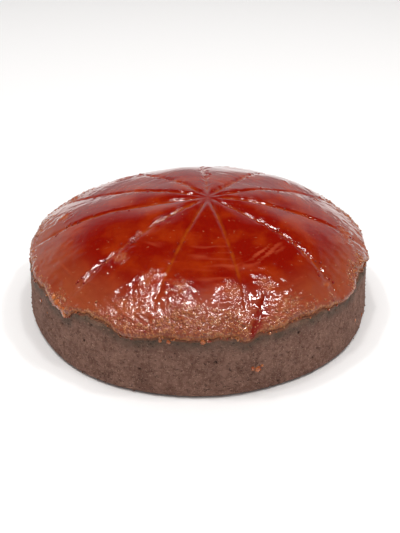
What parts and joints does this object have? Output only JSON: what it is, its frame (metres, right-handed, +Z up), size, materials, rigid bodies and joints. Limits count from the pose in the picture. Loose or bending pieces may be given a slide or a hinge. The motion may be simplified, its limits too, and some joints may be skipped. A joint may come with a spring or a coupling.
{
  "type": "guava cake",
  "caption": "Whole round domed sponge cake under a glossy guava glaze that is scored in wedges and hangs over the shoulder in a wavy edge with short drips.",
  "frame": {"origin": "middle of the flat underside, on the surface that the cake stands on", "axes": "+Z up through the cake, -Y towards the side that is shown, +X to the right of it"},
  "size_m": [0.2251, 0.225, 0.0733],
  "materials": {
    "sponge": "matte",
    "glaze": "gloss"
  },
  "bodies": {
    "root": {"sponge": "sponge", "guava_glaze": "glaze"}
  },
  "joints": []
}
